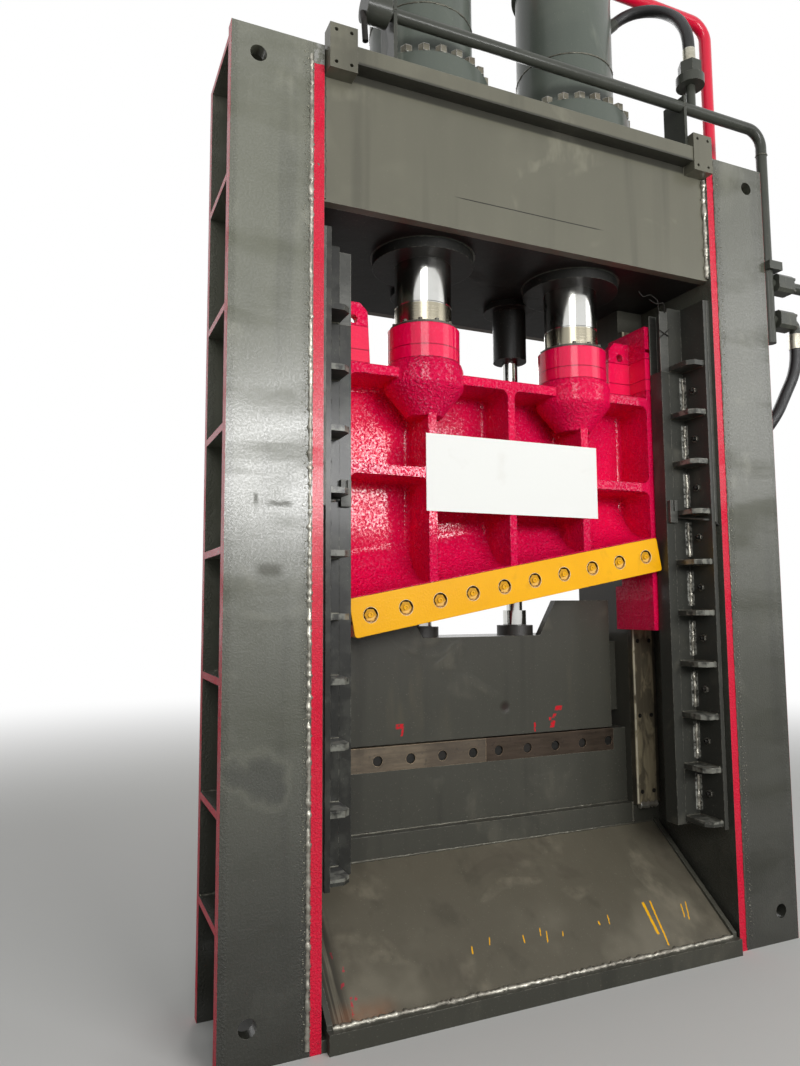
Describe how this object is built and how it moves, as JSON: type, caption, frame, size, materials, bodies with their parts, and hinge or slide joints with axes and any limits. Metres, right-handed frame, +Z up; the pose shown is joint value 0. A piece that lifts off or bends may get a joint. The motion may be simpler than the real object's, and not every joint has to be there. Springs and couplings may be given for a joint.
{
  "type": "gantry shear",
  "caption": "Hydraulic gantry shear: welded portal frame, ribbed slide with an inclined blade, hold-down beam, discharge chute and pipework.",
  "frame": {"origin": "on the floor under the base plate's front edge, half way between the columns, in the plane of the columns' front faces", "axes": "+X to the right seen from the discharge side, +Y towards the feed side, +Z up"},
  "size_m": [2.777, 1.051, 4.5],
  "materials": {
    "frame_paint": "semi-gloss grey-green paint with weld grind marks",
    "slide_paint": "glossy crimson paint",
    "bar_paint": "glossy yellow paint",
    "sign_white": "plain white paint",
    "chrome_rod": "ground and chromed",
    "tool_steel": "ground tool steel, darkened",
    "worn_steel": "machined steel with oil film and rust tint",
    "fastener_steel": "plated steel",
    "hose_rubber": "matt black cover"
  },
  "bodies": {
    "frame": {"left_front_plate": "frame_paint", "right_front_plate": "frame_paint", "left_inner_plate": "frame_paint", "right_inner_plate": "frame_paint", "rear_plates": "frame_paint", "column_ribs": "frame_paint", "beam_front_plate": "frame_paint", "beam_rear_plate": "frame_paint", "beam_top_plate": "frame_paint", "beam_bottom_plate": "frame_paint", "beam_webs": "frame_paint", "keeper_blocks": "frame_paint", "guide_columns": "frame_paint", "rear_liners": "worn_steel", "guide_pads": "frame_paint", "gib_brackets": "frame_paint", "gib_bars": "frame_paint", "gib_end_channels": "frame_paint", "oilers": "fastener_steel", "blade_seat": "frame_paint", "bed_table_plate": "frame_paint", "bed_rear_plate": "frame_paint", "bed_ribs": "frame_paint", "base_plate": "frame_paint", "left_lower_blade": "tool_steel", "right_lower_blade": "tool_steel", "lower_blade_bolts": "fastener_steel", "chute_plate": "frame_paint", "chute_frame": "frame_paint", "left_main_barrel": "frame_paint", "right_main_barrel": "frame_paint", "main_glands": "frame_paint", "cylinder_heads": "frame_paint", "barrel_studs": "frame_paint", "hold_down_barrels": "frame_paint", "pressure_pipe": "frame_paint", "pipe_brackets": "frame_paint", "manifold": "frame_paint", "branch_flanges": "frame_paint", "branch_screws": "fastener_steel", "hose_nuts": "frame_paint", "hose_ferrules": "fastener_steel", "hose_fittings": "frame_paint", "left_hose": "hose_rubber", "right_hose": "hose_rubber", "branch_hose": "hose_rubber", "return_pipes": "slide_paint"},
    "slide": {"slide_casting": "slide_paint", "left_piston_rod": "chrome_rod", "right_piston_rod": "chrome_rod", "rod_clamp_rings": "fastener_steel", "rod_clamp_bolts": "fastener_steel", "upper_blade": "tool_steel", "blade_backing_bar": "bar_paint", "blade_bolts": "bar_paint", "sign_plate": "sign_white"},
    "hold_down": {"hold_down_beam": "frame_paint", "hold_down_shoes": "frame_paint", "hold_down_rods": "chrome_rod"}
  },
  "joints": [
    {"name": "slide_travel", "type": "slide", "parent": "frame", "child": "slide", "axis": [0, 0, -1], "range_m": [0, 0.767]},
    {"name": "hold_down_travel", "type": "slide", "parent": "frame", "child": "hold_down", "axis": [0, 0, 1], "range_m": [0, 0.52]}
  ]
}
